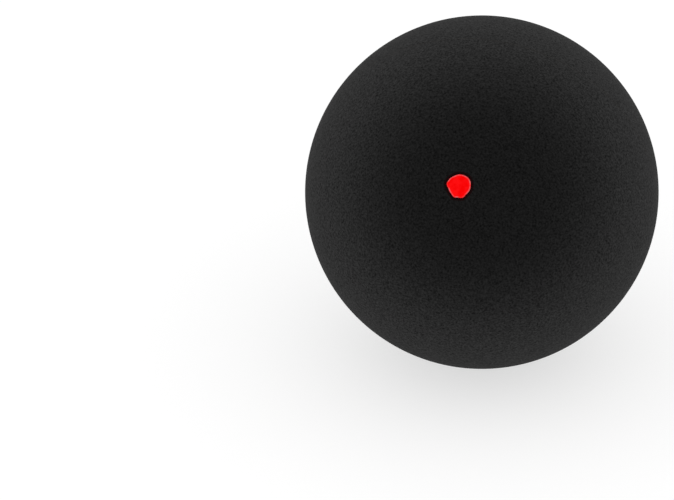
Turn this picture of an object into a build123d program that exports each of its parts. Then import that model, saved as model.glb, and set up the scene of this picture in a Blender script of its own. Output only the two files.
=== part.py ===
from build123d import *
import os
from math import cos, radians, sin

# A squash ball: two moulded rubber half shells, cemented edge to edge round a sealed hollow,
# with a speed dot stamped on the front half and a plain print band stamped on the rear half.
# Millimetres and degrees. The origin is the ball's centre, +Z is up as the ball lies and -Y is
# the front. The cemented joint lies in the plane Y = 0, square to the ball's axis, Y.

# The ball and its joint
ball_diameter = 40.0
wall = 5.2
cement_line = 0.2  # thickness of the cured cement between the two butted edges
cement_bead = 0.6  # radius of the bead that squeezed out along the joint into the hollow

# The stamps
stamp_depth = 0.10  # how far the hot die sank into the rubber
stamp_margin = 0.12  # width of the open groove that the die left round the ink
ink_thickness = 0.11
dot_diameter = 2.6
dot_rise = 33.0  # angle of the dot above the front
band_length = 19.5
band_width = 2.4
band_rise = 12.0  # angle of the band above the rear

outer_radius = ball_diameter / 2
hollow_radius = outer_radius - wall
stamp_floor_radius = outer_radius - stamp_depth
ink_radius = stamp_floor_radius + ink_thickness

FRONT = -1
REAR = 1


def half_section(side):
    """Section of the half shell on one side of the joint, to be turned about the ball's axis."""
    joint_face = Align.MIN if side == REAR else Align.MAX
    with BuildSketch(Plane.XY) as section:
        Circle(outer_radius)
        Circle(hollow_radius, mode=Mode.SUBTRACT)
        with Locations((0, side * cement_line / 2)):
            Rectangle(outer_radius, outer_radius, align=(Align.MIN, joint_face), mode=Mode.INTERSECT)
    return section.sketch


def stamp_site(side, rise):
    """Plane through the ball's centre whose normal points out through the middle of a stamp."""
    outward = (0, side * cos(radians(rise)), sin(radians(rise)))
    return Plane(origin=(0, 0, 0), x_dir=(-side, 0, 0), z_dir=outward)


def dot_outline(margin):
    """The dot, grown by a margin."""
    with BuildSketch() as outline:
        Circle(dot_diameter / 2 + margin)
    return outline.sketch


def band_outline(margin):
    """The band with its round ends, grown by a margin."""
    with BuildSketch() as outline:
        SlotOverall(band_length + 2 * margin, band_width + 2 * margin)
    return outline.sketch


def stamped_layer(site, outline, low_radius, high_radius):
    """What lies under a stamp's outline, between two spheres about the ball's centre."""
    with BuildPart() as layer:
        with BuildSketch(site):
            add(outline)
        extrude(amount=ball_diameter)
        Sphere(high_radius, mode=Mode.INTERSECT)
        Sphere(low_radius, mode=Mode.SUBTRACT)
    return layer.part


dot_site = stamp_site(FRONT, dot_rise)
band_site = stamp_site(REAR, band_rise)
dot_pocket = stamped_layer(dot_site, dot_outline(stamp_margin), stamp_floor_radius, ball_diameter)
band_pocket = stamped_layer(band_site, band_outline(stamp_margin), stamp_floor_radius, ball_diameter)

# The front half, with the pocket of its stamp
with BuildPart() as front_half_shell:
    add(half_section(FRONT))
    revolve(axis=Axis.Y)
    add(dot_pocket, mode=Mode.SUBTRACT)
front_half_shell.part.label = "front_half_shell"

# The rear half, with the pocket of its stamp
with BuildPart() as rear_half_shell:
    add(half_section(REAR))
    revolve(axis=Axis.Y)
    add(band_pocket, mode=Mode.SUBTRACT)
rear_half_shell.part.label = "rear_half_shell"

# The cement: a thin ring between the two edges, and a bead along it inside the hollow
with BuildPart() as seam_cement:
    with BuildSketch(Plane.XY):
        Circle(outer_radius)
        Circle(hollow_radius, mode=Mode.SUBTRACT)
        Rectangle(outer_radius, cement_line, align=(Align.MIN, Align.CENTER), mode=Mode.INTERSECT)
    revolve(axis=Axis.Y)
    with BuildSketch(Plane.XY):
        with Locations((hollow_radius, 0)):
            Circle(cement_bead)
        Circle(hollow_radius, mode=Mode.INTERSECT)
    revolve(axis=Axis.Y)
seam_cement.part.label = "seam_cement"

# The ink of each stamp, lying on the floor of its pocket
with BuildPart() as speed_dot:
    add(stamped_layer(dot_site, dot_outline(0), stamp_floor_radius, ink_radius))
speed_dot.part.label = "speed_dot"

with BuildPart() as print_band:
    add(stamped_layer(band_site, band_outline(0), stamp_floor_radius, ink_radius))
print_band.part.label = "print_band"

os.makedirs("parts", exist_ok=True)
export_step(front_half_shell.part, "parts/front_half_shell.step")
export_step(rear_half_shell.part, "parts/rear_half_shell.step")
export_step(seam_cement.part, "parts/seam_cement.step")
export_step(speed_dot.part, "parts/speed_dot.step")
export_step(print_band.part, "parts/print_band.step")
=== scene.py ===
import math

import bmesh
import bpy
from mathutils import Matrix, Vector, noise


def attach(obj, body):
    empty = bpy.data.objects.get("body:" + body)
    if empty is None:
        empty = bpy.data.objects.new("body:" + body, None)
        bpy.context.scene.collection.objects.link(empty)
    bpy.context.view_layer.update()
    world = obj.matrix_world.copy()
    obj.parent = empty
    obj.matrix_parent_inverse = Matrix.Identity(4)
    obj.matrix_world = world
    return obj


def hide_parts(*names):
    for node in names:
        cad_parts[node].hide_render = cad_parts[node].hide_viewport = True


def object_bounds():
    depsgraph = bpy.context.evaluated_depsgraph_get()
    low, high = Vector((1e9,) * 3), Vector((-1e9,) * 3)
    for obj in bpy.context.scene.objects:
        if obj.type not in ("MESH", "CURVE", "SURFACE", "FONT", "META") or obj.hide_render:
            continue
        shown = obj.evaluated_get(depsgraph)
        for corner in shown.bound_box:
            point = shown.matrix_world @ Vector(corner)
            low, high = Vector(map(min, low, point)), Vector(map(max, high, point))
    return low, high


# A squash ball: two buffed rubber half shells cemented edge to edge, a stamped red speed dot on
# the front half and a plain stamped red band on the rear half. Metres, in the frame's own axes:
# the origin is the ball's centre, +Z is up, -Y is the front and the joint lies in the plane Y = 0.

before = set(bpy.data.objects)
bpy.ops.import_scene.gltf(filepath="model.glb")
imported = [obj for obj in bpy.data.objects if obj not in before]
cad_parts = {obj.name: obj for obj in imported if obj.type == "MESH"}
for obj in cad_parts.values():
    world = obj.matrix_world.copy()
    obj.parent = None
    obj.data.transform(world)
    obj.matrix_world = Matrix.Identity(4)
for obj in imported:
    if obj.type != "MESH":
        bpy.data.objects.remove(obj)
cad_low, cad_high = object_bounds()

MM = 0.001
FRONT = -1
REAR = 1

# The ball
BALL_RADIUS = (cad_high.y - cad_low.y) / 2
WALL = 5.2 * MM
HOLLOW_RADIUS = BALL_RADIUS - WALL

# The joint
CEMENT_HALF = 0.10 * MM  # half the cement's thickness between the two edges
CEMENT_SUNK = 0.014 * MM  # how far the cement shrank below the rubber's edges where it shows
CEMENT_BEAD = 0.6 * MM  # most that the cement was squeezed out into the hollow
BEAD_SHARE = 0.86  # the bead's usual size, as a share of that
BEAD_UNEVEN = 0.12  # how far its size swings, as a share of the same
SUNK_UNEVEN = 0.6  # how far the shrinkage swings, as a share of itself
EDGE_DROP = 0.022 * MM  # how far the rubber's edges are rounded off at the joint where it shows
EDGE_WIDTH = 0.26 * MM  # how far from the joint that rounding starts
SEAM_LEFT = 0.04  # share of the joint's relief that is left where it is buffed out
SEAM_START = -0.1  # depth below the centre, in radii, where the joint starts to show
SEAM_FULL = 0.6  # depth below the centre, in radii, from which it shows in full

# The stamps
STAMP_DEPTH = 0.10 * MM
STAMP_FLOOR = BALL_RADIUS - STAMP_DEPTH
STAMP_MARGIN = 0.12 * MM  # from the ink's edge to the middle of the sloping wall
STAMP_WALL = 0.05 * MM  # half the run of the sloping wall from the stamp's floor to the surface
STAMP_REACH = 0.80 * MM  # beyond this the surface is the plain ball again
LIP_HEIGHT = 0.012 * MM  # rubber that the die pushed up round the stamp
LIP_WIDTH = 0.16 * MM
GLAZE_AND_SHADE_WIDTH = 0.26 * MM  # how far past the ink the rubber is glazed, ink-stained and darkened with painted shade
GLAZE_AND_SHADE_FADE = 0.10 * MM  # width over which that glaze, stain and painted shade die out
DOT_RISE = 33.0  # degrees above the front
# Reach of the dot's edge at its soft corners and flats, by the angle in degrees from the right
DOT_EDGE = (
    (40.0, 1.365 * MM),
    (80.0, 1.295 * MM),
    (119.0, 1.245 * MM),
    (152.0, 1.335 * MM),
    (173.0, 1.425 * MM),
    (203.0, 1.230 * MM),
    (226.0, 1.235 * MM),
    (250.0, 1.370 * MM),
    (270.0, 1.305 * MM),
    (293.0, 1.370 * MM),
    (314.0, 1.235 * MM),
    (345.0, 1.270 * MM),
)
BAND_RISE = 12.0  # degrees above the rear
BAND_HALF_LENGTH = 9.75 * MM
BAND_HALF_WIDTH = 1.20 * MM

# The ink
INK_BODY = 0.104 * MM  # thickness away from the edge
INK_EDGE = 0.036 * MM  # radius of the ink's rounded edge
INK_BEAD = 0.010 * MM  # thicker line where the ink drew up along its edge
INK_BORDER = 0.4 * MM  # width of the border that holds the edge and the bead
INK_GLINT_WIDTH = 0.17 * MM  # width of the border's outer part that carries a paler painted highlight
INK_RAGGED = 0.010 * MM  # how far the outline wanders

# Unevenness round a ring: where in the noise it is taken, and how fine it is
DOT_RIPPLE = (3.7, 9.0)
BAND_RIPPLE = (8.1, 9.0)
SUNK_RIPPLE = (1.3, 14.0)
BEAD_RIPPLE = (5.5, 6.0)

# How finely the meshes are cut
SEGMENTS = 288
STAMP_RINGS = 30
STAMP_CROWDING = 1.5  # power that crowds the stamp's rings towards the ink
OUTSIDE_RINGS = 76
INSIDE_RINGS = 26
INK_RINGS = 18
INK_CROWDING = 1.8  # power that crowds the ink's rings towards its edge
BEAD_STEPS = 6
FLOOR_SHARES = (0, 0.35, 0.7, 1)  # from the middle of a stamp's floor to the ink's edge
NEAR_JOINT = (2.0, 1.4, 1.0, 0.75, 0.5, 0.3, 0.15, 0.05, 0)  # distances, in edge widths
JOINT_SHARES = (0.005, 0.5, 1)  # from the outside to the hollow
UNDERSIDE_SHARES = (0, 0.5, 0.9, 1)  # from the middle of the ink to its edge
TOP_SHARES = (0.5, 0.33, 0.16, 0)  # from the ink's border to its middle
WELD = 0.4e-6  # points nearer to each other than this are welded
SHARP_ANGLE = 50.0  # edges that bend by more degrees stay sharp

# The finishes
PORES_TO_SPECKS = 0.45  # pores to a speck, along a line
MID_TONE = 0.5  # speckle where the tooth is level
PAINTED_SHEEN_START = 0.05  # squared sine of the angle of view at which the painted sheen begins
PAINTED_SHEEN_FULL = 0.88  # and at which it is full
RUBBER_SHINE = {"Specular_IOR_Level": 0.02, "Sheen_Weight": 0.022, "Sheen_Roughness": 0.65}
INK_DEEP = (0.93, 0.0, 0.0001)
INK_BRIGHT = (1.0, 0.0036, 0.0042)
# Paler red painted along the ink's edge as a highlight
GLINT_DEEP = (0.70, 0.11, 0.12)
GLINT_BRIGHT = (0.78, 0.17, 0.18)

# The studio: the floor has one look for the light it gives and one as the background
FLOOR_REACH = 4.0  # half its side
PAPER_GIVEN = (0.45, 0.45, 0.45)
PAPER_SEEN = (0.40, 0.40, 0.40)
GLOW_GIVEN = 0.52
GLOW_SEEN = 0.64

# The photograph's frame and the ball's place in it, in pixels
IMAGE_WIDTH = 674
IMAGE_HEIGHT = 500
BALL_PIXEL = (481.80, 192.18)
BALL_PIXEL_RADIUS = 176.80

# The camera
CAMERA_DISTANCE = 0.912  # from the ball's centre
CAMERA_AZIMUTH = 9.87  # degrees from the front, round to +X
CAMERA_ELEVATION = 31.79  # degrees
SENSOR_WIDTH = 36.0  # millimetres, as the lens is


def smooth_step(low, high, value):
    """0 below low, 1 above high and a smooth rise between them."""
    share = min(1.0, max(0.0, (value - low) / (high - low)))
    return share * share * (3 - 2 * share)


def turn(step):
    """Angle of one of the mesh's segments."""
    return 2 * math.pi * step / SEGMENTS


def ripple(step, layer, fineness):
    """Seamless unevenness round a ring, from about -1 to 1."""
    angle = turn(step)
    return noise.noise(Vector((fineness * math.cos(angle), fineness * math.sin(angle), layer)))


# Meshes


def skin(name, rings, material, mask=None, values=(), wrapped=False):
    """A closed mesh through rings of points, with a named mask that has one value to a ring.

    A ring drawn in to a point or a line is welded there.
    """
    shape = bmesh.new()
    layer = shape.verts.layers.float.new(mask) if mask else None
    rows = []
    for index, ring in enumerate(rings):
        row = [shape.verts.new(point) for point in ring]
        if mask:
            for vertex in row:
                vertex[layer] = values[index]
        rows.append(row)
    if wrapped:
        rows.append(rows[0])
    for low, high in zip(rows, rows[1:]):
        for here in range(SEGMENTS):
            there = (here + 1) % SEGMENTS
            face = shape.faces.new((low[here], low[there], high[there], high[here]))
            face.smooth = True
    bmesh.ops.remove_doubles(shape, verts=shape.verts, dist=WELD)
    bmesh.ops.recalc_face_normals(shape, faces=shape.faces)
    for edge in shape.edges:
        edge.smooth = edge.calc_face_angle(0) < math.radians(SHARP_ANGLE)
    mesh = bpy.data.meshes.new(name)
    shape.to_mesh(mesh)
    shape.free()
    mesh.materials.append(material)
    piece = bpy.data.objects.new(name, mesh)
    bpy.context.scene.collection.objects.link(piece)
    return piece


def stand_for(piece, node):
    """The piece takes the place of a node of the frame."""
    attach(piece, "root")
    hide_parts(node)


def stamp_axes(side, rise):
    """Right, up and outward at the middle of a stamp, as seen from outside the ball."""
    tilt = math.radians(rise)
    right = Vector((-side, 0, 0))
    up = Vector((0, -side * math.sin(tilt), math.cos(tilt)))
    outward = Vector((0, side * math.cos(tilt), math.sin(tilt)))
    return right, up, outward


def dot_reach(angle):
    """Reach of the dot's edge at an angle in degrees, eased from each corner or flat to the next."""
    first_angle, first_reach = DOT_EDGE[0]
    last_angle, last_reach = DOT_EDGE[-1]
    before = (last_angle - 360, last_reach)
    for after in (*DOT_EDGE, (first_angle + 360, first_reach)):
        if angle <= after[0]:
            break
        before = after
    return before[1] + (after[1] - before[1]) * smooth_step(before[0], after[0], angle)


def dot_rim():
    """Foot, direction and reach of the dot's edge: a round with soft corners, as the die left it."""
    rim = []
    for step in range(SEGMENTS):
        angle = turn(step)
        reach = dot_reach(math.degrees(angle)) + INK_RAGGED * ripple(step, *DOT_RIPPLE)
        rim.append((Vector((0, 0)), Vector((math.cos(angle), math.sin(angle))), reach))
    return rim


def band_rim():
    """Foot, direction and reach of the band's edge: two straight sides with round ends."""
    straight = BAND_HALF_LENGTH - BAND_HALF_WIDTH
    rim = []
    for step in range(SEGMENTS):
        angle = turn(step)
        along = BAND_HALF_LENGTH * math.cos(angle)
        bend = max(0.0, (abs(along) - straight) / BAND_HALF_WIDTH)
        across = math.sqrt(1 - bend * bend)
        foot = Vector((min(straight, max(-straight, along)), 0))
        direction = Vector((math.copysign(bend, along), math.copysign(across, math.sin(angle))))
        rim.append((foot, direction, BAND_HALF_WIDTH + INK_RAGGED * ripple(step, *BAND_RIPPLE)))
    return rim


def stamp_ring(axes, rim, share, past, radius):
    """Ring at a share of the way from foot to edge and a distance past it, on a sphere's radius."""
    right, up, outward = axes
    ring = []
    for foot, direction, reach in rim:
        flat = foot + direction * (reach * share + past)
        rise = math.sqrt(radius * radius - flat.length_squared)
        ring.append(right * flat.x + up * flat.y + outward * rise)
    return ring


def stamp_surface(past):
    """Height of the rubber, against the plain ball, at a distance past the ink's edge."""
    sunk = 1 - smooth_step(STAMP_MARGIN - STAMP_WALL, STAMP_MARGIN + STAMP_WALL, past)
    lip = math.exp(-((past - STAMP_MARGIN - STAMP_WALL - LIP_WIDTH / 2) / LIP_WIDTH) ** 2)
    return LIP_HEIGHT * lip * (1 - sunk) - STAMP_DEPTH * sunk


def seam_relief(height):
    """How much of the joint shows at a height: buffed out above, left as a fine line below."""
    return SEAM_LEFT + (1 - SEAM_LEFT) * smooth_step(SEAM_START, SEAM_FULL, -height / BALL_RADIUS)


def joint_point(side, step, radius):
    """Point on the flat edge of a half shell, at a distance from the ball's centre."""
    angle = turn(step)
    across = math.sqrt(radius * radius - CEMENT_HALF * CEMENT_HALF)
    return Vector((-side * across * math.cos(angle), side * CEMENT_HALF, across * math.sin(angle)))


def edge_drop(point):
    """How far the rubber is rounded off at a point of the ball near the joint."""
    near = 1 - min(1.0, (abs(point.y) - CEMENT_HALF) / EDGE_WIDTH)
    return EDGE_DROP * seam_relief(point.z) * near * near


def outside_rings(start, finish):
    """Rings over the outside of a half shell, from round its stamp to its buffed edge."""
    near_joint = [EDGE_WIDTH * share for share in NEAR_JOINT]
    rings = []
    for index in range(1, OUTSIDE_RINGS + len(near_joint)):
        ring = []
        for here, there in zip(start, finish):
            whole = here.angle(there)
            if index < OUTSIDE_RINGS:
                share = index / OUTSIDE_RINGS * (1 - near_joint[0] / BALL_RADIUS / whole)
            else:
                share = 1 - near_joint[index - OUTSIDE_RINGS] / BALL_RADIUS / whole
            direction = here.slerp(there, share)
            ring.append(direction * (BALL_RADIUS - edge_drop(direction * BALL_RADIUS)))
        rings.append(ring)
    return rings


def joint_rings(side, edge):
    """Rings over the joint face of a half shell, from its buffed edge to the hollow."""
    rings = []
    for share in JOINT_SHARES:
        ring = []
        for step, point in enumerate(edge):
            radius = point.length
            ring.append(joint_point(side, step, radius + (HOLLOW_RADIUS - radius) * share))
        rings.append(ring)
    return rings


def half_shell(name, side, rise, rim, material):
    """One half: stamp floor, stamp wall and lip, outside, buffed edge, joint face and inside."""
    axes = stamp_axes(side, rise)
    outward = axes[2]
    rings = [stamp_ring(axes, rim, share, 0, STAMP_FLOOR) for share in FLOOR_SHARES]
    glaze_and_shade = [1.0] * len(rings)
    for index in range(1, STAMP_RINGS + 1):
        past = STAMP_REACH * (index / STAMP_RINGS) ** STAMP_CROWDING
        rings.append(stamp_ring(axes, rim, 1, past, BALL_RADIUS + stamp_surface(past)))
        # mask of the glazed, ink-stained ring round the stamp, which also carries painted shade of
        # its recess
        glaze_and_shade.append(1 - smooth_step(GLAZE_AND_SHADE_WIDTH, GLAZE_AND_SHADE_WIDTH + GLAZE_AND_SHADE_FADE, past))

    start = [point.normalized() for point in rings[-1]]
    finish = [joint_point(side, step, BALL_RADIUS).normalized() for step in range(SEGMENTS)]
    rings += outside_rings(start, finish)
    rings += joint_rings(side, rings[-1])
    for index in range(1, INSIDE_RINGS + 1):
        share = index / INSIDE_RINGS
        rings.append([there.slerp(outward, share) * HOLLOW_RADIUS for there in finish])
    glaze_and_shade += [0.0] * (len(rings) - len(glaze_and_shade))
    return skin(name, rings, material, "glaze_and_shade", glaze_and_shade)


def ink_height(inside):
    """Height of the ink above the stamp's floor, at a distance in from its edge."""
    edge = 1 - min(1.0, inside / INK_EDGE)
    bead = math.exp(-((inside - 2 * INK_EDGE) / INK_EDGE) ** 2)
    return INK_BODY * math.sqrt(1 - edge * edge) + INK_BEAD * bead


def ink_film(name, side, rise, rim, material):
    """The ink of one stamp: underside, rounded edge, drawn-up bead and slightly hollow top."""
    axes = stamp_axes(side, rise)
    rings = [stamp_ring(axes, rim, share, 0, STAMP_FLOOR) for share in UNDERSIDE_SHARES]
    glint_share = [0.0] * (len(rings) - 1) + [1.0]
    for index in range(1, INK_RINGS + 1):
        inside = INK_BORDER * (index / INK_RINGS) ** INK_CROWDING
        rings.append(stamp_ring(axes, rim, 1, -inside, STAMP_FLOOR + ink_height(inside)))
        # share of the painted highlight along the ink's edge
        glint_share.append(1 - smooth_step(INK_GLINT_WIDTH / 2, INK_GLINT_WIDTH, inside))
    for share in TOP_SHARES:
        rings.append(stamp_ring(axes, rim, share, 0, STAMP_FLOOR + INK_BODY))
        glint_share.append(0.0)
    return skin(name, rings, material, "rim", glint_share)


def cement_profile(step):
    """Section of the cement at one angle: outer line, flat sides and an uneven inner bead."""
    relief = seam_relief(BALL_RADIUS * math.sin(turn(step)))
    outer = BALL_RADIUS - EDGE_DROP * relief
    sunk = outer - CEMENT_SUNK * relief * (1 + SUNK_UNEVEN * ripple(step, *SUNK_RIPPLE))
    bead = CEMENT_BEAD * (BEAD_SHARE + BEAD_UNEVEN * ripple(step, *BEAD_RIPPLE))
    wall = math.sqrt(HOLLOW_RADIUS ** 2 - CEMENT_HALF ** 2)
    profile = [
        (outer, -CEMENT_HALF),
        (sunk, -CEMENT_HALF / 2),
        (sunk, CEMENT_HALF / 2),
        (outer, CEMENT_HALF),
        (wall, CEMENT_HALF),
    ]
    for index in range(-BEAD_STEPS, BEAD_STEPS + 1):
        slope = index / BEAD_STEPS * (math.pi / 2 - bead / HOLLOW_RADIUS / 2)
        profile.append((HOLLOW_RADIUS - bead * math.cos(slope), -bead * math.sin(slope)))
    profile.append((wall, -CEMENT_HALF))
    return profile


def cement_ring(name, material):
    """The cured cement between the two halves, turned about the ball's axis."""
    profiles = [cement_profile(step) for step in range(SEGMENTS)]
    rings = []
    for index in range(len(profiles[0])):
        ring = []
        for step, profile in enumerate(profiles):
            angle = turn(step)
            across, along = profile[index]
            ring.append(Vector((across * math.cos(angle), along, across * math.sin(angle))))
        rings.append(ring)
    return skin(name, rings, material, wrapped=True)


# Finishes


def add_node(tree, kind, place, **settings):
    """A shader node at a place in the editor, with its settings."""
    node = tree.nodes.new(kind)
    node.location = place
    for key, value in settings.items():
        setattr(node, key, value)
    return node


def set_inputs(node, **values):
    """Constant inputs by name, with underscores for spaces."""
    for key, value in values.items():
        node.inputs[key.replace("_", " ")].default_value = value


def buffed_grain_group():
    """Fine tooth of a surface: a mask of specks and pores, soft patches and the tooth's height."""
    group = bpy.data.node_groups.new("buffed_grain", "ShaderNodeTree")
    sockets = group.interface
    sockets.new_socket("Position", in_out="INPUT", socket_type="NodeSocketVector")
    sockets.new_socket("Grain Scale", in_out="INPUT", socket_type="NodeSocketFloat")
    sockets.new_socket("Contrast", in_out="INPUT", socket_type="NodeSocketFloat")
    sockets.new_socket("Tooth", in_out="INPUT", socket_type="NodeSocketFloat")
    sockets.new_socket("Speckle", in_out="OUTPUT", socket_type="NodeSocketFloat")
    sockets.new_socket("Patches", in_out="OUTPUT", socket_type="NodeSocketFloat")
    sockets.new_socket("Height", in_out="OUTPUT", socket_type="NodeSocketFloat")
    entry = add_node(group, "NodeGroupInput", (-1000, 0))
    leave = add_node(group, "NodeGroupOutput", (500, 0))
    link = group.links.new

    specks = add_node(group, "ShaderNodeTexNoise", (-500, 300))
    set_inputs(specks, Detail=2.0, Roughness=0.5)
    link(entry.outputs["Position"], specks.inputs["Vector"])
    link(entry.outputs["Grain Scale"], specks.inputs["Scale"])
    spacing = add_node(group, "ShaderNodeMath", (-750, 50), operation="MULTIPLY")
    spacing.inputs[1].default_value = PORES_TO_SPECKS
    link(entry.outputs["Grain Scale"], spacing.inputs[0])
    cells = add_node(group, "ShaderNodeTexVoronoi", (-500, 50))
    link(entry.outputs["Position"], cells.inputs["Vector"])
    link(spacing.outputs[0], cells.inputs["Scale"])
    pores = add_node(group, "ShaderNodeMapRange", (-250, 50), interpolation_type="SMOOTHSTEP")
    set_inputs(pores, From_Min=0.12, From_Max=0.38, To_Min=0.58, To_Max=0.48)
    link(cells.outputs["Distance"], pores.inputs["Value"])
    patch = add_node(group, "ShaderNodeTexNoise", (-500, -250))
    set_inputs(patch, Scale=260.0, Detail=3.0, Roughness=0.55)
    link(entry.outputs["Position"], patch.inputs["Vector"])

    tooth = add_node(group, "ShaderNodeMath", (-50, 200), operation="SUBTRACT")
    link(specks.outputs["Fac"], tooth.inputs[0])
    link(pores.outputs["Result"], tooth.inputs[1])
    speckle = add_node(group, "ShaderNodeMath", (200, 250), operation="MULTIPLY_ADD", use_clamp=True)
    speckle.inputs[2].default_value = MID_TONE
    link(tooth.outputs[0], speckle.inputs[0])
    link(entry.outputs["Contrast"], speckle.inputs[1])
    height = add_node(group, "ShaderNodeMath", (200, 50), operation="MULTIPLY")
    link(tooth.outputs[0], height.inputs[0])
    link(entry.outputs["Tooth"], height.inputs[1])
    link(speckle.outputs[0], leave.inputs["Speckle"])
    link(patch.outputs["Fac"], leave.inputs["Patches"])
    link(height.outputs[0], leave.inputs["Height"])
    return group


def bare_material(name):
    """A node material with nothing in it but its output."""
    material = bpy.data.materials.new(name)
    material.use_nodes = True
    tree = material.node_tree
    tree.nodes.clear()
    output = add_node(tree, "ShaderNodeOutputMaterial", (600, 0))
    return material, tree, output


def new_finish(name):
    """A node material with its shader, for a finish of the ball."""
    material, tree, output = bare_material(name)
    shader = add_node(tree, "ShaderNodeBsdfPrincipled", (300, 0))
    tree.links.new(shader.outputs["BSDF"], output.inputs["Surface"])
    return material, tree, shader


def grained(tree, group, row, scale, contrast, tooth):
    """The grain group placed in a material, at a row of its editor, in the ball's own coordinates."""
    coordinates = add_node(tree, "ShaderNodeTexCoord", (-1150, row))
    grain = add_node(tree, "ShaderNodeGroup", (-900, row), node_tree=group)
    set_inputs(grain, Grain_Scale=scale, Contrast=contrast, Tooth=tooth)
    tree.links.new(coordinates.outputs["Object"], grain.inputs["Position"])
    return grain


def colour_between(tree, factor, dark, light, place):
    """A colour that runs from dark to light with a mask."""
    mix = add_node(tree, "ShaderNodeMix", place, data_type="RGBA")
    mix.inputs["A"].default_value = (*dark, 1)
    mix.inputs["B"].default_value = (*light, 1)
    tree.links.new(factor, mix.inputs["Factor"])
    return mix.outputs["Result"]


def value_between(tree, factor, low, high, place):
    """A value that runs from low to high with a mask."""
    spread = add_node(tree, "ShaderNodeMapRange", place)
    set_inputs(spread, To_Min=low, To_Max=high)
    tree.links.new(factor, spread.inputs["Value"])
    return spread.outputs["Result"]


def masked(tree, mask, plain, other, kind, place):
    """One look's colour or value, and the other look's where a mask is 1."""
    mix = add_node(tree, "ShaderNodeMix", place, data_type=kind)
    tree.links.new(mask, mix.inputs["Factor"])
    tree.links.new(plain, mix.inputs["A"])
    tree.links.new(other, mix.inputs["B"])
    return mix.outputs["Result"]


def dress(tree, shader, colour, roughness, height):
    """Colour, roughness and the bump of a height, joined to the shader."""
    bump = add_node(tree, "ShaderNodeBump", (50, -300))
    set_inputs(bump, Strength=1.0, Distance=1.0)
    tree.links.new(height, bump.inputs["Height"])
    tree.links.new(colour, shader.inputs["Base Color"])
    tree.links.new(roughness, shader.inputs["Roughness"])
    tree.links.new(bump.outputs["Normal"], shader.inputs["Normal"])


def rubber_look(tree, group, row, *, scale, contrast, tooth, dark, light, matt, painted_sheen):
    """Colour, roughness and height of grained black rubber.

    It is speckled between two colours and matt between two roughnesses. Its colour is multiplied
    by a painted sheen, a gain that grows from face on to a glancing angle. With a blend of 0.75,
    Facing is the squared sine of the angle between the view and the surface's normal.
    """
    grain = grained(tree, group, row, scale, contrast, tooth)
    speckle = colour_between(tree, grain.outputs["Speckle"], dark, light, (-650, row))
    # Painted sheen: the colour's gain grows with the angle of view
    glance = add_node(tree, "ShaderNodeLayerWeight", (-900, row + 200))
    set_inputs(glance, Blend=0.75)
    gain = add_node(tree, "ShaderNodeMapRange", (-650, row + 250), interpolation_type="SMOOTHSTEP")
    set_inputs(gain, From_Min=PAINTED_SHEEN_START, From_Max=PAINTED_SHEEN_FULL, To_Min=1.0, To_Max=painted_sheen)
    tree.links.new(glance.outputs["Facing"], gain.inputs["Value"])
    sheen_painted_colour = add_node(tree, "ShaderNodeVectorMath", (-400, row + 100), operation="SCALE")
    tree.links.new(speckle, sheen_painted_colour.inputs[0])
    tree.links.new(gain.outputs["Result"], sheen_painted_colour.inputs["Scale"])
    roughness = value_between(tree, grain.outputs["Patches"], *matt, (-650, row - 200))
    return sheen_painted_colour.outputs["Vector"], roughness, grain.outputs["Height"]


def buffed_rubber(group):
    """Matt black rubber, finely grained, with a painted sheen, and a glazed, ink-stained line round
    its stamp darkened with painted shade.
    """
    material, tree, shader = new_finish("buffed_rubber")
    buffed = rubber_look(
        tree, group, 400,
        scale=4600.0, contrast=2.15, tooth=0.045 * MM,
        dark=(0.0013, 0.0013, 0.0013), light=(0.0114, 0.0114, 0.0114),
        matt=(0.82, 0.98), painted_sheen=3.15,
    )
    # The ring round the stamp: smoother glaze and red ink stain, darkened as painted shade of the
    # recess, with less painted sheen
    glazed_and_shaded = rubber_look(
        tree, group, -400,
        scale=4600.0, contrast=1.6, tooth=0.010 * MM,
        dark=(0.0038, 0.0, 0.0001), light=(0.0092, 0.0002, 0.0004),
        matt=(0.55, 0.70), painted_sheen=1.2,
    )
    glaze_and_shade = add_node(tree, "ShaderNodeAttribute", (-400, 500), attribute_name="glaze_and_shade")
    kinds = ("RGBA", "FLOAT", "FLOAT")
    look = []
    for index, (plain, other, kind) in enumerate(zip(buffed, glazed_and_shaded, kinds)):
        place = (-150, 300 - 250 * index)
        look.append(masked(tree, glaze_and_shade.outputs["Fac"], plain, other, kind, place))
    dress(tree, shader, *look)
    set_inputs(shader, **RUBBER_SHINE)
    return material


def rubber_cement(group):
    """Cured cement, buffed with the rubber and a shade browner, with the same painted sheen."""
    material, tree, shader = new_finish("rubber_cement")
    look = rubber_look(
        tree, group, 0,
        scale=4200.0, contrast=2.15, tooth=0.035 * MM,
        dark=(0.0013, 0.0012, 0.0011), light=(0.0111, 0.0107, 0.0103),
        matt=(0.75, 0.90), painted_sheen=3.15,
    )
    dress(tree, shader, *look)
    set_inputs(shader, **RUBBER_SHINE)
    return material


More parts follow.
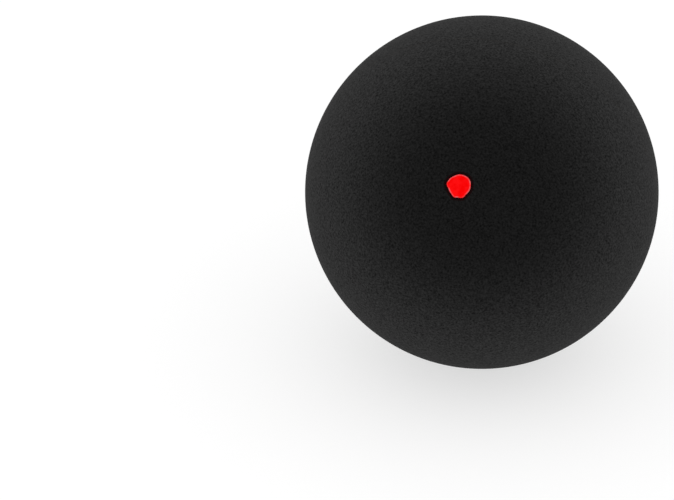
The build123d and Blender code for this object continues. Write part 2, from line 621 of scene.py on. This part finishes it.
def stamp_ink(group):
    """Hot-stamped red ink: mottled where it lies thicker or thinner, with a paler painted highlight
    in patches along its edge.
    """
    material, tree, shader = new_finish("stamp_ink")
    grain = grained(tree, group, 0, scale=1400.0, contrast=4.0, tooth=0.010 * MM)
    speckle = grain.outputs["Speckle"]
    body = colour_between(tree, speckle, INK_DEEP, INK_BRIGHT, (-650, 100))
    glint_colour = colour_between(tree, speckle, GLINT_DEEP, GLINT_BRIGHT, (-650, -150))
    coordinates = add_node(tree, "ShaderNodeTexCoord", (-1150, 400))
    glint_breakup = add_node(tree, "ShaderNodeTexNoise", (-900, 400))
    set_inputs(glint_breakup, Scale=1300.0, Detail=3.0, Roughness=0.65)
    tree.links.new(coordinates.outputs["Object"], glint_breakup.inputs["Vector"])
    glint_share = add_node(tree, "ShaderNodeMapRange", (-650, 400), interpolation_type="SMOOTHSTEP")
    set_inputs(glint_share, From_Min=0.40, From_Max=0.62, To_Min=0.10, To_Max=0.75)
    tree.links.new(glint_breakup.outputs["Fac"], glint_share.inputs["Value"])
    # Painted highlight along the ink's edge, broken into patches
    edge = add_node(tree, "ShaderNodeAttribute", (-650, 600), attribute_name="rim")
    edge_glint = add_node(tree, "ShaderNodeMath", (-400, 500), operation="MULTIPLY")
    tree.links.new(edge.outputs["Fac"], edge_glint.inputs[0])
    tree.links.new(glint_share.outputs["Result"], edge_glint.inputs[1])
    colour = masked(tree, edge_glint.outputs[0], body, glint_colour, "RGBA", (-150, 300))
    roughness = value_between(tree, grain.outputs["Patches"], 0.42, 0.62, (-650, -350))
    dress(tree, shader, colour, roughness, grain.outputs["Height"])
    set_inputs(shader, Specular_IOR_Level=0.015)
    return material


# Studio


def background_rays(tree, place):
    """1 for rays that should see the white background: camera, glossy and transmission rays."""
    path = add_node(tree, "ShaderNodeLightPath", place)
    seen = path.outputs["Is Camera Ray"]
    for index, ray in enumerate(("Is Glossy Ray", "Is Transmission Ray")):
        spot = (place[0] + 200 * (index + 1), place[1])
        both = add_node(tree, "ShaderNodeMath", spot, operation="MAXIMUM")
        tree.links.new(seen, both.inputs[0])
        tree.links.new(path.outputs[ray], both.inputs[1])
        seen = both.outputs[0]
    return seen


def floor_paper():
    """White paper with a glow of its own, so that it keeps a soft shadow and runs out to white."""
    material, tree, output = bare_material("studio_floor")
    paper = add_node(tree, "ShaderNodeBsdfDiffuse", (100, 100))
    glow = add_node(tree, "ShaderNodeEmission", (100, -100))
    both = add_node(tree, "ShaderNodeAddShader", (350, 0))
    seen = background_rays(tree, (-900, 0))
    shade = colour_between(tree, seen, PAPER_GIVEN, PAPER_SEEN, (-150, 100))
    lift = value_between(tree, seen, GLOW_GIVEN, GLOW_SEEN, (-150, -150))
    tree.links.new(shade, paper.inputs["Color"])
    tree.links.new(lift, glow.inputs["Strength"])
    tree.links.new(paper.outputs[0], both.inputs[0])
    tree.links.new(glow.outputs[0], both.inputs[1])
    tree.links.new(both.outputs[0], output.inputs["Surface"])
    return material


def studio_floor():
    """A pale floor under the ball."""
    corners = []
    for x, y in ((-1, -1), (1, -1), (1, 1), (-1, 1)):
        corners.append((x * FLOOR_REACH, y * FLOOR_REACH, -BALL_RADIUS))
    mesh = bpy.data.meshes.new("studio_floor")
    mesh.from_pydata(corners, [], [(0, 1, 2, 3)])
    mesh.materials.append(floor_paper())
    floor = bpy.data.objects.new("studio_floor", mesh)
    bpy.context.scene.collection.objects.link(floor)


def studio_light():
    """Even white light from all round, as in a light tent."""
    world = bpy.data.worlds.new("light_tent")
    bpy.context.scene.world = world
    world.use_nodes = True
    tree = world.node_tree
    tree.nodes.clear()
    output = add_node(tree, "ShaderNodeOutputWorld", (300, 0))
    tent = add_node(tree, "ShaderNodeBackground", (0, 0))
    set_inputs(tent, Color=(1, 1, 1, 1), Strength=1.0)
    tree.links.new(tent.outputs[0], output.inputs["Surface"])


def photo_camera():
    """The camera at the photograph's angle, with the ball at its place and size in the frame."""
    focal = BALL_PIXEL_RADIUS * math.sqrt(CAMERA_DISTANCE ** 2 - BALL_RADIUS ** 2) / BALL_RADIUS
    aside = (BALL_PIXEL[0] - IMAGE_WIDTH / 2) / focal
    above = (IMAGE_HEIGHT / 2 - BALL_PIXEL[1]) / focal
    depth = CAMERA_DISTANCE / math.sqrt(1 + aside * aside + above * above)
    azimuth = math.radians(CAMERA_AZIMUTH)
    elevation = math.radians(CAMERA_ELEVATION)
    level = math.cos(elevation)
    back = Vector((math.sin(azimuth) * level, -math.cos(azimuth) * level, math.sin(elevation)))
    right = Vector((math.cos(azimuth), math.sin(azimuth), 0))
    up = back.cross(right)
    place = (back - right * aside - up * above) * depth
    lens = bpy.data.cameras.new("photo_camera")
    lens.sensor_width = SENSOR_WIDTH
    lens.lens = focal * SENSOR_WIDTH / IMAGE_WIDTH
    lens.clip_start = 0.01
    lens.clip_end = 20.0
    camera = bpy.data.objects.new("photo_camera", lens)
    camera.matrix_world = Matrix((right, up, back)).transposed().to_4x4()
    camera.location = place
    bpy.context.scene.collection.objects.link(camera)
    bpy.context.scene.camera = camera


def build():
    """The ball's pieces, each in the place of its node."""
    grain = buffed_grain_group()
    rubber = buffed_rubber(grain)
    cement = rubber_cement(grain)
    ink = stamp_ink(grain)
    dot = dot_rim()
    band = band_rim()
    front = half_shell("front_half", FRONT, DOT_RISE, dot, rubber)
    rear = half_shell("rear_half", REAR, BAND_RISE, band, rubber)
    stand_for(front, "front_half_shell")
    stand_for(rear, "rear_half_shell")
    stand_for(cement_ring("cement_line", cement), "seam_cement")
    stand_for(ink_film("dot_ink", FRONT, DOT_RISE, dot, ink), "speed_dot")
    stand_for(ink_film("band_ink", REAR, BAND_RISE, band, ink), "print_band")


build()
studio_floor()
studio_light()
photo_camera()
bpy.context.scene.view_settings.view_transform = "Standard"
